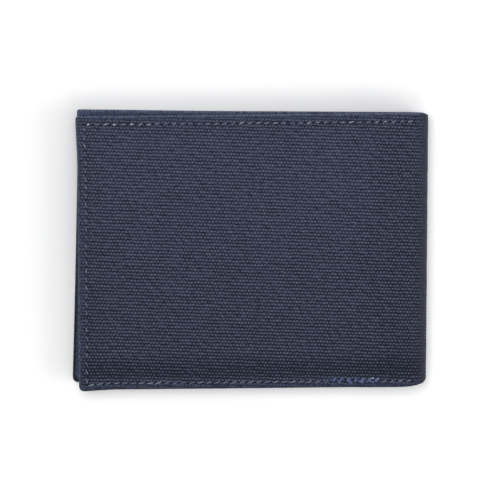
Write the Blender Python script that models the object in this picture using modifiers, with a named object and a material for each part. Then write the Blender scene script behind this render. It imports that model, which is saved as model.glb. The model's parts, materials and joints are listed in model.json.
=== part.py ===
"""A bifold wallet of ribbed canvas, closed and lying on its back leaf.

The spine is at +X, the free edges at -X, and the bill opening at +Y. Each leaf is a stack of cloth:
canvas cover, stiffener, bill lining, the flat bill compartment, inner panel, and pockets. The spine is
a half tube of the same layers, hinged to both leaves, so that the wallet opens flat.
"""

import math

import bmesh
import bpy
from mathutils import Matrix, Vector

MM = 0.001

# Driving dimensions of the closed wallet.
WIDTH = 114.0 * MM
HEIGHT = 88.2 * MM
LEAF_GAP = 1.0 * MM  # between the two leaves' innermost faces

# The cloth, from the outside of a leaf inwards.
CANVAS = 1.0 * MM
STIFFENER = 0.5 * MM
BILL_LINING = 0.3 * MM
BILL_SPACE = 0.8 * MM
INNER_PANEL = 0.4 * MM
POCKET = 0.4 * MM
FILM = 0.2 * MM
CLOTH_GAP = 0.3 * MM  # between neighbouring layers
POCKET_COUNT = 3

# Depths below a leaf's outer face.
STIFFENER_DEPTH = CANVAS + CLOTH_GAP
BILL_LINING_DEPTH = STIFFENER_DEPTH + STIFFENER + CLOTH_GAP
PANEL_DEPTH = BILL_LINING_DEPTH + BILL_LINING + BILL_SPACE
POCKET_DEPTH = PANEL_DEPTH + INNER_PANEL + CLOTH_GAP
POCKET_PITCH = POCKET + CLOTH_GAP
LEAF_DEPTH = POCKET_DEPTH + POCKET_COUNT * POCKET_PITCH - CLOTH_GAP
FILM_DEPTH = POCKET_DEPTH + POCKET_PITCH
FRAME_DEPTH = FILM_DEPTH + FILM + CLOTH_GAP

THICKNESS = 2 * LEAF_DEPTH + LEAF_GAP
SPINE_RADIUS = THICKNESS / 2
LEAF_LENGTH = WIDTH - SPINE_RADIUS
SPINE_CLEARANCE = 0.5 * MM  # between a leaf's end and the spine, which dips past its own end as it turns

# How far each leaf is out of square.
FRONT_SETBACK = 1.3 * MM  # the front leaf is this much shorter
FRONT_SLIP = 0.3 * MM  # and lies this much lower
FRONT_DROP = math.radians(0.9)  # its top and bottom edges fall towards the free edge
FRONT_LEAN = math.radians(0.6)  # its free edge leans outwards at the top
BACK_LEAN = math.radians(-1.0)  # the back leaf's free edge leans outwards at the bottom

# Corners in plan.
TOP_CORNER = 0.6 * MM
BOTTOM_CORNER = 1.7 * MM
SPINE_TOP_CORNER = 1.0 * MM
SPINE_BOTTOM_CORNER = 3.0 * MM
POCKET_CORNER = 1.0 * MM
CORNER_STEPS = 6
SPINE_STEPS = 24

# The canvas is turned in along the free and bottom edges, which closes the bill compartment there.
TURNED_EDGE = 1.6 * MM
EDGE_ROUNDING = 0.4 * MM
LAYER_INSET = 2.2 * MM  # the stiffener and lining end this far inside the leaf's edge
BILL_MOUTH = 1.0 * MM  # the inner panel ends this far below the top edge

# Card pockets, for cards 85.6 mm by 54 mm.
POCKET_MARGIN = 5.0 * MM
POCKET_SPINE_MARGIN = 6.5 * MM
FIRST_HEM = 71.0 * MM  # the highest pocket's hem above the leaf's bottom edge
HEM_STEP = 11.0 * MM
FRAME_HEM = 62.0 * MM
WINDOW_RIM = 9.0 * MM
FILM_LAP = 3.0 * MM  # the film runs this far under the frame's rim

# Seams.
SEAM_INSET = 2.7 * MM
OUTER_THREAD = 0.2 * MM  # radius
INNER_THREAD = 0.14 * MM
THREAD_SINK = 0.22 * MM  # the outer thread's centre below the canvas's face
GROOVE = 0.6 * MM
TOP_SEAM_END = 2.0 * MM  # from the spine
BOTTOM_SEAM_END = 2.0 * MM
SEAM_CORNER = 1.2 * MM
THREAD_GAP = 0.05 * MM
OVERCUT = 4.0 * MM
WELD = 1e-7
FLAT_ANGLE = math.radians(1)
BEVEL_ANGLE = math.radians(60)

# The hinges stand where the opened leaves lie as far apart as the spine's canvas is long.
HINGE_OUT = math.pi * THICKNESS / 8


def linear(red, green, blue):
    """A colour in scene values from its display values of 0 to 255."""
    return tuple((value / 255) ** 2.2 for value in (red, green, blue))


MATERIALS = {
    "navy_canvas": (linear(58, 62, 79), 0.9),
    "blue_lining": (linear(48, 62, 98), 0.75),
    "grey_interlining": (linear(150, 150, 148), 0.95),
    "grey_blue_thread": (linear(104, 116, 148), 0.6),
    "clear_film": (linear(214, 220, 224), 0.15),
}


def material(name):
    """The named material, made the first time it is asked for."""
    found = bpy.data.materials.get(name)
    if found:
        return found
    colour, roughness = MATERIALS[name]
    made = bpy.data.materials.new(name)
    made.use_nodes = True
    shader = made.node_tree.nodes["Principled BSDF"]
    shader.inputs["Base Color"].default_value = (*colour, 1)
    shader.inputs["Roughness"].default_value = roughness
    shader.inputs["Metallic"].default_value = 0
    return made


def collection(name):
    made = bpy.data.collections.new(name)
    bpy.context.scene.collection.children.link(made)
    return made


def rounded(corners, radii):
    """The line through these corners, each turned with its own radius. A radius of 0 leaves it sharp."""
    points = []
    for index, radius in enumerate(radii):
        corner = Vector(corners[index])
        if radius == 0:
            points.append(corner)
            continue
        before = (Vector(corners[index - 1]) - corner).normalized()
        after = (Vector(corners[(index + 1) % len(corners)]) - corner).normalized()
        half = before.angle(after) / 2
        centre = corner + (before + after).normalized() * radius / math.sin(half)
        start = corner + before * radius / math.tan(half) - centre
        end = corner + after * radius / math.tan(half) - centre
        for step in range(CORNER_STEPS + 1):
            arm = start.lerp(end, step / CORNER_STEPS).normalized() * radius
            points.append(centre + arm)
    return points


class Leaf:
    """One leaf. Its own x runs from 0 at the spine to -length, and its own y is 0 at mid height."""

    def __init__(self, name, outer_z, inward, length, slip, drop, lean):
        self.name = name
        self.outer_z = outer_z
        self.inward = inward
        self.length = length
        self.slip = slip
        self.drop = drop
        self.lean = lean

    def z(self, depth):
        return self.outer_z + self.inward * depth

    def place(self, x, y):
        """Where a point of the leaf lies, seen from above and from the spine's centre line."""
        share = -x / self.length
        return (
            x - share * y * math.tan(self.lean),
            y - self.slip + x * math.tan(self.drop),
        )

    def outline(self, left, right, bottom, top, radii):
        """A patch of the leaf, from its bottom left corner round to its top left one."""
        corners = [(left, bottom), (right, bottom), (right, top), (left, top)]
        return rounded([self.place(x, y) for x, y in corners], radii)

    def whole(self):
        """The leaf's whole outline."""
        return self.outline(
            -self.length,
            -SPINE_CLEARANCE,
            -HEIGHT / 2,
            HEIGHT / 2,
            (BOTTOM_CORNER, 0, 0, TOP_CORNER),
        )

    def seam(self, inset, top_end, bottom_end):
        """A seam along the free edge, with a run along the top and one along the bottom."""
        side = -self.length + inset
        reach = HEIGHT / 2 - inset
        corners = [(-top_end, reach), (side, reach), (side, -reach), (-bottom_end, -reach)]
        radii = (0, SEAM_CORNER, SEAM_CORNER, 0)
        return rounded([self.place(x, y) for x, y in corners], radii)


BACK = Leaf("back", 0, 1, LEAF_LENGTH, 0, 0, BACK_LEAN)
FRONT = Leaf(
    "front", THICKNESS, -1, LEAF_LENGTH - FRONT_SETBACK, FRONT_SLIP, FRONT_DROP, FRONT_LEAN
)


def spine_place():
    """Where the spine's centre line is, so that the closed wallet's box is centred on the origin."""
    points = BACK.whole() + FRONT.whole()
    left = min(point.x for point in points)
    bottom = min(point.y for point in points)
    top = max(point.y for point in points)
    return Vector((-(left + SPINE_RADIUS) / 2, -(bottom + top) / 2, 0))


PLACE = spine_place()


def add(obj, where, parent=None, finish=None):
    """Links an object whose mesh or curve is drawn around the spine's centre line."""
    where.objects.link(obj)
    obj.location += PLACE
    if finish:
        obj.data.materials.append(material(finish))
    if parent:
        obj.parent = parent
        obj.matrix_parent_inverse = Matrix.Translation(parent.matrix_world.translation).inverted()
    return obj


def flat_curve(name, outlines, half_thickness):
    """A plate cut to the first outline, with the others as holes."""
    curve = bpy.data.curves.new(name, "CURVE")
    curve.dimensions = "2D"
    curve.fill_mode = "BOTH"
    curve.extrude = half_thickness
    for outline in outlines:
        spline = curve.splines.new("POLY")
        spline.points.add(len(outline) - 1)
        for point, (x, y) in zip(spline.points, outline):
            point.co = (x, y, 0, 1)
        spline.use_cyclic_u = True
    return bpy.data.objects.new(name, curve)


def cord_curve(name, points, radius):
    """A round cord through these points."""
    curve = bpy.data.curves.new(name, "CURVE")
    curve.dimensions = "3D"
    curve.bevel_depth = radius
    curve.bevel_resolution = 2
    curve.use_fill_caps = True
    spline = curve.splines.new("POLY")
    spline.points.add(len(points) - 1)
    for point, (x, y, z) in zip(spline.points, points):
        point.co = (x, y, z, 1)
    return bpy.data.objects.new(name, curve)


def as_mesh(obj):
    """The mesh object that stands for this curve object, which is removed."""
    bpy.context.view_layer.update()
    evaluated = obj.evaluated_get(bpy.context.evaluated_depsgraph_get())
    mesh = bpy.data.meshes.new_from_object(evaluated)
    shape = bmesh.new()
    shape.from_mesh(mesh)
    bmesh.ops.remove_doubles(shape, verts=shape.verts, dist=WELD)
    bmesh.ops.dissolve_limit(
        shape, angle_limit=FLAT_ANGLE, verts=shape.verts, edges=shape.edges
    )
    bmesh.ops.recalc_face_normals(shape, faces=shape.faces)
    shape.to_mesh(mesh)
    shape.free()
    name = obj.name
    made = bpy.data.objects.new(name + "_mesh", mesh)
    made.matrix_world = obj.matrix_world
    made.parent = obj.parent
    made.matrix_parent_inverse = obj.matrix_parent_inverse
    made.location = obj.location
    made.rotation_euler = obj.rotation_euler
    for home in obj.users_collection:
        home.objects.link(made)
    bpy.data.objects.remove(obj)
    made.name = name
    return made


def cutter(obj, cutters):
    """Turns a curve object into a cutter."""
    made = as_mesh(add(obj, cutters))
    made.hide_render = True
    made.display_type = "WIRE"
    return made


def cut(obj, tool, operation="DIFFERENCE"):
    boolean = obj.modifiers.new(tool.name, "BOOLEAN")
    boolean.operation = operation
    boolean.object = tool


def plate(name, leaf, outlines, depth, thickness):
    """A flat layer of a leaf, from this depth inwards."""
    obj = flat_curve(name, outlines, thickness / 2)
    obj.location.z = leaf.z(depth + thickness / 2)
    return obj


def cover(leaf, parts, cutters, parent):
    """The canvas with its turned-in edges, and the groove that its seam is pulled into."""
    lip = PANEL_DEPTH - CLOTH_GAP
    body = as_mesh(
        add(plate(leaf.name + "_cover", leaf, [leaf.whole()], 0, lip), parts, parent, "navy_canvas")
    )
    rounding = body.modifiers.new("turned_edge", "BEVEL")
    rounding.width = EDGE_ROUNDING
    rounding.segments = 2
    rounding.limit_method = "ANGLE"
    rounding.angle_limit = BEVEL_ANGLE
    inside = leaf.outline(
        -leaf.length + TURNED_EDGE,
        OVERCUT,
        -HEIGHT / 2 + TURNED_EDGE,
        HEIGHT / 2 + OVERCUT,
        (BOTTOM_CORNER, 0, 0, 0),
    )
    recess = plate(leaf.name + "_recess", leaf, [inside], CANVAS, lip)
    cut(body, cutter(recess, cutters))
    route = leaf.seam(SEAM_INSET, TOP_SEAM_END, BOTTOM_SEAM_END)
    groove = cord_curve(leaf.name + "_groove", [(x, y, leaf.z(0)) for x, y in route], GROOVE)
    cut(body, cutter(groove, cutters))


def outer_stitching(leaf, parts, parent):
    """The seam's thread on the canvas, which shows along three edges."""
    route = leaf.seam(SEAM_INSET, TOP_SEAM_END + GROOVE, BOTTOM_SEAM_END + GROOVE)
    depth = leaf.z(THREAD_SINK)
    thread = cord_curve(
        leaf.name + "_outer_stitching", [(x, y, depth) for x, y in route], OUTER_THREAD
    )
    add(thread, parts, parent, "grey_blue_thread")


def inner_stitching(leaf, parts, parent):
    """The same seam's thread on the inner panel, along the free and bottom edges."""
    route = leaf.seam(SEAM_INSET, TOP_SEAM_END, BOTTOM_SEAM_END)
    reach = HEIGHT / 2 - SEAM_INSET - BILL_MOUTH
    down = [leaf.place(-leaf.length + SEAM_INSET, reach)] + route[CORNER_STEPS + 2 :]
    depth = leaf.z(PANEL_DEPTH + INNER_PANEL + THREAD_GAP + INNER_THREAD)
    thread = cord_curve(
        leaf.name + "_inner_stitching", [(x, y, depth) for x, y in down], INNER_THREAD
    )
    add(thread, parts, parent, "grey_blue_thread")


def hidden_layers(leaf, parts, parent):
    """The stiffener and the lining of the bill compartment."""
    outline = leaf.outline(
        -leaf.length + LAYER_INSET,
        -SPINE_CLEARANCE,
        -HEIGHT / 2 + LAYER_INSET,
        HEIGHT / 2 - BILL_MOUTH,
        (POCKET_CORNER, 0, 0, 0),
    )
    stiffener = plate(leaf.name + "_stiffener", leaf, [outline], STIFFENER_DEPTH, STIFFENER)
    add(stiffener, parts, parent, "grey_interlining")
    lining = plate(leaf.name + "_bill_lining", leaf, [outline], BILL_LINING_DEPTH, BILL_LINING)
    add(lining, parts, parent, "blue_lining")


def inner_panel(leaf, parts, parent):
    """The panel that the pockets are sewn to, flush with the turned-in edges."""
    outline = leaf.outline(
        -leaf.length + EDGE_ROUNDING,
        -SPINE_CLEARANCE,
        -HEIGHT / 2 + EDGE_ROUNDING,
        HEIGHT / 2 - BILL_MOUTH,
        (BOTTOM_CORNER, 0, 0, TOP_CORNER),
    )
    panel = plate(leaf.name + "_inner_panel", leaf, [outline], PANEL_DEPTH, INNER_PANEL)
    add(panel, parts, parent, "blue_lining")


def pocket_outline(leaf, hem, inset=0.0):
    """A pocket from the leaf's bottom margin up to its hem, or that outline brought in on all sides."""
    radius = POCKET_CORNER
    return leaf.outline(
        -leaf.length + POCKET_MARGIN + inset,
        -POCKET_SPINE_MARGIN - inset,
        -HEIGHT / 2 + POCKET_MARGIN + inset,
        -HEIGHT / 2 + hem - inset,
        (radius, radius, radius, radius),
    )


def card_pocket(name, leaf, number, parts, parent):
    """One of the stacked pockets. Each is in front of the last, with its hem a step lower."""
    outline = pocket_outline(leaf, FIRST_HEM - number * HEM_STEP)
    pocket = plate(name, leaf, [outline], POCKET_DEPTH + number * POCKET_PITCH, POCKET)
    add(pocket, parts, parent, "blue_lining")


def id_window(parts, parent):
    """A clear film behind a cloth frame, in front of the front leaf's pocket."""
    film_outline = pocket_outline(FRONT, FRAME_HEM, WINDOW_RIM - FILM_LAP)
    film = plate("id_window_film", FRONT, [film_outline], FILM_DEPTH, FILM)
    add(film, parts, parent, "clear_film")
    outlines = [
        pocket_outline(FRONT, FRAME_HEM),
        pocket_outline(FRONT, FRAME_HEM, WINDOW_RIM),
    ]
    frame = plate("id_window_frame", FRONT, outlines, FRAME_DEPTH, POCKET)
    add(frame, parts, parent, "blue_lining")


def pocket_stitching(leaf, hem, face_depth, parts, parent):
    """The seam that closes a leaf's pockets at their sides and bottom."""
    left = -leaf.length + POCKET_MARGIN + SEAM_INSET
    right = -POCKET_SPINE_MARGIN - SEAM_INSET
    bottom = -HEIGHT / 2 + POCKET_MARGIN + SEAM_INSET
    top = -HEIGHT / 2 + hem - INNER_THREAD
    corners = [(left, top), (left, bottom), (right, bottom), (right, top)]
    route = rounded([leaf.place(x, y) for x, y in corners], (0, SEAM_CORNER, SEAM_CORNER, 0))
    depth = leaf.z(face_depth + THREAD_GAP + INNER_THREAD)
    thread = cord_curve(
        leaf.name + "_pocket_stitching", [(x, y, depth) for x, y in route], INNER_THREAD
    )
    add(thread, parts, parent, "grey_blue_thread")


def arc(radius, start, end):
    """Points on a circle about the spine's centre line, seen along the spine."""
    angles = [start + (end - start) * step / SPINE_STEPS for step in range(SPINE_STEPS + 1)]
    return [(radius * math.cos(angle), radius * math.sin(angle)) for angle in angles]


def spine_layer(name, depth, thickness, inset, parts, parent, finish):
    """A half tube at this depth below the spine's outside, brought in at both ends."""
    quarter = math.pi / 2
    outer = arc(SPINE_RADIUS - depth, -quarter, quarter)
    inner = arc(SPINE_RADIUS - depth - thickness, quarter, -quarter)
    obj = flat_curve(name, [outer + inner], HEIGHT / 2 - inset)
    obj.rotation_euler.x = quarter
    obj.location = (0, -FRONT_SLIP / 2, SPINE_RADIUS)
    return add(obj, parts, parent, finish)


def spine(parts, cutters, parent):
    """The four layers that turn over the fold. The canvas has its corners rounded in plan."""
    canvas = spine_layer("spine_cover", 0, CANVAS, 0, parts, parent, "navy_canvas")
    bottom = -HEIGHT / 2 - FRONT_SLIP / 2
    top = HEIGHT / 2 - FRONT_SLIP / 2
    right = SPINE_RADIUS + WELD
    corners = [(-OVERCUT, bottom), (right, bottom), (right, top), (-OVERCUT, top)]
    plan = rounded(corners, (0, SPINE_BOTTOM_CORNER, SPINE_TOP_CORNER, 0))
    ends = flat_curve("spine_ends", [plan], SPINE_RADIUS + OVERCUT)
    ends.location.z = SPINE_RADIUS
    cut(as_mesh(canvas), cutter(ends, cutters), "INTERSECT")
    inner_layers = (
        ("spine_interlining", STIFFENER_DEPTH, STIFFENER, LAYER_INSET, "grey_interlining"),
        ("spine_bill_lining", BILL_LINING_DEPTH, BILL_LINING, LAYER_INSET, "blue_lining"),
        ("spine_inner_lining", PANEL_DEPTH, INNER_PANEL, BILL_MOUTH, "blue_lining"),
    )
    for name, depth, thickness, inset, finish in inner_layers:
        spine_layer(name, depth, thickness, inset, parts, parent, finish)


def hinge(name, z, where, parent=None):
    """An empty on a fold's axis, which lies along Y."""
    empty = bpy.data.objects.new(name, None)
    where.objects.link(empty)
    empty.location = PLACE + Vector((HINGE_OUT, 0, z))
    empty.empty_display_size = SPINE_RADIUS
    if parent:
        empty.parent = parent
        empty.matrix_parent_inverse = Matrix.Translation(parent.location).inverted()
    bpy.context.view_layer.update()
    return empty


def leaf_shell(leaf, parts, cutters, parent):
    """What both leaves have: cover, hidden layers, inner panel and edge seams."""
    cover(leaf, parts, cutters, parent)
    hidden_layers(leaf, parts, parent)
    inner_panel(leaf, parts, parent)
    outer_stitching(leaf, parts, parent)
    inner_stitching(leaf, parts, parent)


def main():
    for obj in list(bpy.data.objects):
        bpy.data.objects.remove(obj)
    parts = collection("bifold_wallet")
    cutters = collection("cutters")
    back_fold = hinge("back_fold", SPINE_RADIUS - HINGE_OUT, parts)
    front_fold = hinge("front_fold", SPINE_RADIUS + HINGE_OUT, parts, back_fold)

    leaf_shell(BACK, parts, cutters, None)
    for number in range(POCKET_COUNT):
        card_pocket(f"back_card_pocket_{number + 1}", BACK, number, parts, None)
    last_hem = FIRST_HEM - (POCKET_COUNT - 1) * HEM_STEP
    pocket_stitching(BACK, last_hem, LEAF_DEPTH, parts, None)

    spine(parts, cutters, back_fold)

    leaf_shell(FRONT, parts, cutters, front_fold)
    card_pocket("front_card_pocket", FRONT, 0, parts, front_fold)
    id_window(parts, front_fold)
    pocket_stitching(FRONT, FRAME_HEM, FRAME_DEPTH + POCKET, parts, front_fold)


main()
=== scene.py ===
import json
import math

import bmesh
import bpy
import numpy as np
from mathutils import Matrix, Vector


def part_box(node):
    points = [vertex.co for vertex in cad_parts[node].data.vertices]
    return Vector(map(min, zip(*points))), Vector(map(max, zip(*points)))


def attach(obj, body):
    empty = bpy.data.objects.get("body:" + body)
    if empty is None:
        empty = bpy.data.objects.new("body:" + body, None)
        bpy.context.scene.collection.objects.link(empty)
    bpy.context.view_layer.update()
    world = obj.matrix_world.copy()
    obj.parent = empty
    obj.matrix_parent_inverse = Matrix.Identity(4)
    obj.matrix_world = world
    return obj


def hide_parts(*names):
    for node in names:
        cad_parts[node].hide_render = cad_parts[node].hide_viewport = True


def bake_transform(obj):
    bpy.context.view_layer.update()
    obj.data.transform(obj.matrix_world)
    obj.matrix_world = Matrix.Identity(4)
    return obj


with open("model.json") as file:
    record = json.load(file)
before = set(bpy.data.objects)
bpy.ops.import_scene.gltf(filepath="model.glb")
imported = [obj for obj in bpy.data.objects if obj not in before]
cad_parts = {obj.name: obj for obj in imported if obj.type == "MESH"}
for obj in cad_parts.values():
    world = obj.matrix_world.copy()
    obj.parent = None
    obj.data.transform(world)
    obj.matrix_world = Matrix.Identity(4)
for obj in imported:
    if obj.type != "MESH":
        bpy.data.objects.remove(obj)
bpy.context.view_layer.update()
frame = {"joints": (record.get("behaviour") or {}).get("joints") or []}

# The looks of a canvas bifold wallet. Every layer of cloth is drawn in cloth coordinates: a runs
# along the cloth from a leaf's end at the spine (negative over the leaf, positive round the spine),
# y runs up from the leaf's mid height, and depth runs inwards from the leaf's outer face.

MM = 0.001
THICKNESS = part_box("front_cover")[1].z
RADIUS = THICKNESS / 2
SPINE_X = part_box("spine_cover")[0].x
SPINE_HALF = math.pi * RADIUS / 2  # from a leaf's end to the middle of the spine
MIDDLE_Y = frame["joints"][0]["pos_m"][1]
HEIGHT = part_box("back_cover")[1].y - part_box("back_cover")[0].y
HALF_HEIGHT = HEIGHT / 2
SPINE_SLIP = MIDDLE_Y - sum(corner.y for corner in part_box("spine_cover")) / 2

# Layers, as depths below a leaf's outer face.
CANVAS = 1.0 * MM
STIFFENER = (1.3 * MM, 1.8 * MM)
BILL_LINING = (2.1 * MM, 2.4 * MM)
INNER_PANEL = (3.2 * MM, 3.6 * MM)
POCKET_PITCH = 0.7 * MM
FIRST_POCKET = (3.9 * MM, 4.3 * MM)
FILM = (4.6 * MM, 4.8 * MM)
WINDOW_FRAME = (5.1 * MM, 5.5 * MM)

# The canvas's turned-in edges.
ROLL = 1.0 * MM
EDGE_DEPTH = 2.9 * MM
TOP_EDGE_DEPTH = 2.05 * MM
EDGE_LIP = 1.6 * MM
TOP_HEM = 5.5 * MM
TOP_CORNER = 0.7 * MM
BOTTOM_CORNER = 1.7 * MM

# Weave of the canvas.
RIB = 1.04 * MM
YARN = 0.5375 * MM
RIB_HEIGHT = 0.13 * MM
RIB_SLOPE = math.radians(2.44)
YARN_LEAN = math.radians(0.4)

# Seams.
SEAM = 2.7 * MM  # from the top and the free edge
LOW_SEAM = 2.1 * MM  # from the bottom edge
STITCH = 2.7 * MM
LONG_SEAM = 39 * STITCH  # along the top and the bottom, from the free edge's seam
BACKSTITCHES = (-25.0 * MM, -8.8 * MM)
EDGE_SLANT = math.radians(17)
STITCH_RINGS = 9
STITCH_SIDES = 8
STITCH_SINK = 0.2 * MM  # of its ends, below the cloth's face
MOST_THREAD = 0.22 * MM  # half a stitch's height at most: a wider one is flatter

# Pockets.
POCKET_MARGIN = 5.0 * MM
POCKET_SPINE_MARGIN = 6.5 * MM
HEMS = (71.0 * MM, 60.0 * MM, 49.0 * MM)
FRAME_HEM = 62.0 * MM
WINDOW_RIM = 9.0 * MM
FILM_LAP = 3.0 * MM
WINDOW_SEAM = 1.5 * MM  # outside the window's edge
POCKET_SEAM = 2.7 * MM
HEM_SEAM = 5.6 * MM  # below a pocket's hem
POCKET_STITCH = 2.4 * MM

RIPPLES = 7  # waves that cross each other in a piece's unevenness
rng = np.random.default_rng(7)


def smooth(x, low=0.0, high=1.0):
    """0 up to low, 1 from high, and a smooth step between."""
    t = np.clip((np.asarray(x, float) - low) / (high - low), 0, 1)
    return t * t * (3 - 2 * t)


def corner_rise(radius, distance):
    """How far a round corner draws an edge in, at this distance from the edge beside it."""
    inside = np.clip(radius - distance, 0, radius)
    return radius - np.sqrt(radius**2 - inside**2)


def ripples(a, y, wavelength, seed):
    """Smooth random unevenness between about -1 and 1."""
    draws = np.random.default_rng(seed)
    total = np.zeros(np.broadcast(a, y).shape)
    for _ in range(RIPPLES):
        heading, phase = draws.uniform(0, 2 * math.pi, 2)
        scale = 2 * math.pi / (wavelength * draws.uniform(0.7, 1.5))
        total += np.cos((a * math.cos(heading) + y * math.sin(heading)) * scale + phase)
    return total / math.sqrt(RIPPLES)


class Leaf:
    """One leaf and its half of the spine.

    slip is how low it lies, drop the angle that it lies askew, and lean the angle of its free edge.
    droop bends its edges inwards, bow hollows its free edge, flare splays its free corners, and
    corner draws the top one out further.
    """

    def __init__(self, name, length, slip=0, drop=0, lean=0, droop=0, bow=0, flare=0, corner=0):
        self.name = name
        self.body = name + "_leaf"
        self.length = length
        self.slip = slip
        self.drop = drop
        self.lean = lean
        self.droop = droop
        self.bow = bow
        self.flare = flare
        self.corner = corner

    def place(self, a, y, depth):
        """World points, as an array of shape (..., 3)."""
        a, y, depth = np.broadcast_arrays(a, y, depth)
        flat = np.minimum(a, 0)
        turn = np.clip(a, 0, None) / RADIUS
        share = -flat / self.length
        sag = depth + self.sag(a, y)
        height = y / HALF_HEIGHT
        free = share * (self.bow * (1 - height**2) - y * math.tan(self.lean))
        free -= (self.flare + self.corner) * smooth(height, 0.62, 1) * smooth(share, 0.8, 1)
        x = SPINE_X + flat + free + (RADIUS - sag) * np.sin(turn)
        slip = self.slip + (SPINE_SLIP - self.slip) * smooth(turn, 0, math.pi / 2)
        slip = slip + self.flare * smooth(-height, 0.3, 1) * smooth(share, 0.88, 1)
        slip = slip - self.corner * smooth(height, 0, 1) * smooth(share, 0.55, 1)
        world_y = MIDDLE_Y + y - slip + flat * math.tan(self.drop)
        rise = RADIUS - (RADIUS - sag) * np.cos(turn)
        z = rise if self.name == "back" else THICKNESS - rise
        return np.stack([x, world_y, z], -1)

    def sag(self, a, y):
        """How far the whole leaf bends inwards here, most of all along its free edges."""
        edge = np.minimum(a + self.length, HALF_HEIGHT - np.abs(y))
        away = smooth(-a, 1 * MM, 25 * MM)
        wave = 0.15 * MM * ripples(a, y, 60 * MM, seed=5) * smooth(-a, 0, 12 * MM)
        return self.droop * (1 - smooth(edge, 0, 8 * MM)) * away + wave * (self.droop > 0)

    def low(self, a):
        """The bottom edge's y."""
        return (
            -HALF_HEIGHT
            + corner_rise(BOTTOM_CORNER, a + self.length)
            + 1.0 * MM * fold_share(a, 9.5 * MM) ** 2
            + 0.9 * MM * (1 - np.sqrt(1 - 0.97 * fold_share(a, 3.0 * MM) ** 4))
        )

    def high(self, a):
        """The top edge's y."""
        return (
            HALF_HEIGHT
            - corner_rise(TOP_CORNER, a + self.length)
            - 0.4 * MM * (1 - np.sqrt(1 - 0.97 * fold_share(a, 1.6 * MM) ** 2))
        )

    def weave(self, a, y):
        """Yarns counted along a rib, and ribs counted up the cloth, on round the spine."""
        s = a if self.name == "front" else 2 * SPINE_HALF - a
        across = (s + y * math.tan(YARN_LEAN)) / YARN
        up = (y * math.cos(RIB_SLOPE) + s * math.sin(RIB_SLOPE)) / RIB
        return across, up


def fold_share(a, reach):
    """0 to 1 over this reach, seen from above, up to the outside of the fold."""
    x = np.where(a < 0, a, RADIUS * np.sin(np.clip(a, 0, None) / RADIUS))
    return np.clip((x - RADIUS + reach) / reach, 0, 1)


BACK_LENGTH = 107.8 * MM
BACK = Leaf(
    "back", BACK_LENGTH,
    lean=math.radians(-1.0), bow=0.17 * MM, flare=0.2 * MM, corner=0.25 * MM,
)
FRONT = Leaf(
    "front", BACK_LENGTH - 1.3 * MM,
    slip=0.3 * MM, drop=math.radians(0.9), lean=math.radians(0.6), droop=1.3 * MM,
    flare=0.5 * MM,
)


# ---- meshes


def spread(*runs):
    """Places along (start, end, step) runs that follow each other."""
    places = []
    for start, end, step in runs:
        count = max(1, round((end - start) / step))
        places.extend(start + (end - start) * i / count for i in range(count))
    places.append(runs[-1][1])
    return np.array(places)


def grid_faces(columns, rows, first=0, keep=None):
    """Quads of a grid whose vertices are numbered along its rows within each column."""
    i, j = np.meshgrid(np.arange(columns - 1), np.arange(rows - 1), indexing="ij")
    if keep is not None:
        i, j = i[keep], j[keep]
    start = first + i.ravel() * rows + j.ravel()
    return np.stack([start, start + rows, start + rows + 1, start + 1], -1).tolist()


def make_mesh(name, points, faces, maps, attributes=(), weld=0.0):
    """A smooth mesh with outward faces. maps holds each vertex's place on the cloth."""
    mesh = bpy.data.meshes.new(name)
    mesh.from_pydata(np.asarray(points).tolist(), [], faces)
    corners = np.empty(len(mesh.loops), int)
    mesh.loops.foreach_get("vertex_index", corners)
    for title, places in maps.items():
        layer = mesh.uv_layers.new(name=title)
        layer.data.foreach_set("uv", np.asarray(places, np.float32)[corners].ravel())
    for title, values in attributes:
        attribute = mesh.attributes.new(title, "FLOAT", "POINT")
        attribute.data.foreach_set("value", np.asarray(values, np.float32))
    shape = bmesh.new()
    shape.from_mesh(mesh)
    if weld:
        bmesh.ops.remove_doubles(shape, verts=shape.verts, dist=weld)
    bmesh.ops.recalc_face_normals(shape, faces=shape.faces)
    shape.to_mesh(mesh)
    shape.free()
    mesh.shade_smooth()
    obj = bpy.data.objects.new(name, mesh)
    bpy.context.scene.collection.objects.link(obj)
    return obj


def settle(obj, leaf, material, replaces, depth=None):
    """Gives a piece its material and slot, and hangs it on its leaf.

    A piece given a depth runs on round the spine: it is not hung on a leaf, and its transform is
    baked into its mesh.
    """
    obj.data.materials.append(material)
    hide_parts(*replaces)
    if depth is None:
        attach(obj, leaf.body)
        return obj
    start = leaf.place(0.0, 0.0, depth)
    end = leaf.place(SPINE_HALF, 0.0, depth)
    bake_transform(obj)
    return obj


# ---- the canvas


def seam_window(leaf, a, y):
    """The distance off each seam, the distance along it, and 1 where it is sewn.

    The seams are the top one, the free edge's and the bottom one.
    """
    along = a + leaf.length - SEAM
    sewn = smooth(along, -0.5 * MM, 0.2 * MM) * smooth(LONG_SEAM - along, -0.5 * MM, 0.2 * MM)
    top = (HALF_HEIGHT - SEAM - y, along, sewn)
    ends = np.minimum(HALF_HEIGHT - SEAM - y, y + HALF_HEIGHT - LOW_SEAM)
    free = (along, y, smooth(ends, -0.5 * MM, 0.2 * MM))
    bottom = (y + HALF_HEIGHT - LOW_SEAM, along, sewn)
    return top, free, bottom


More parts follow.
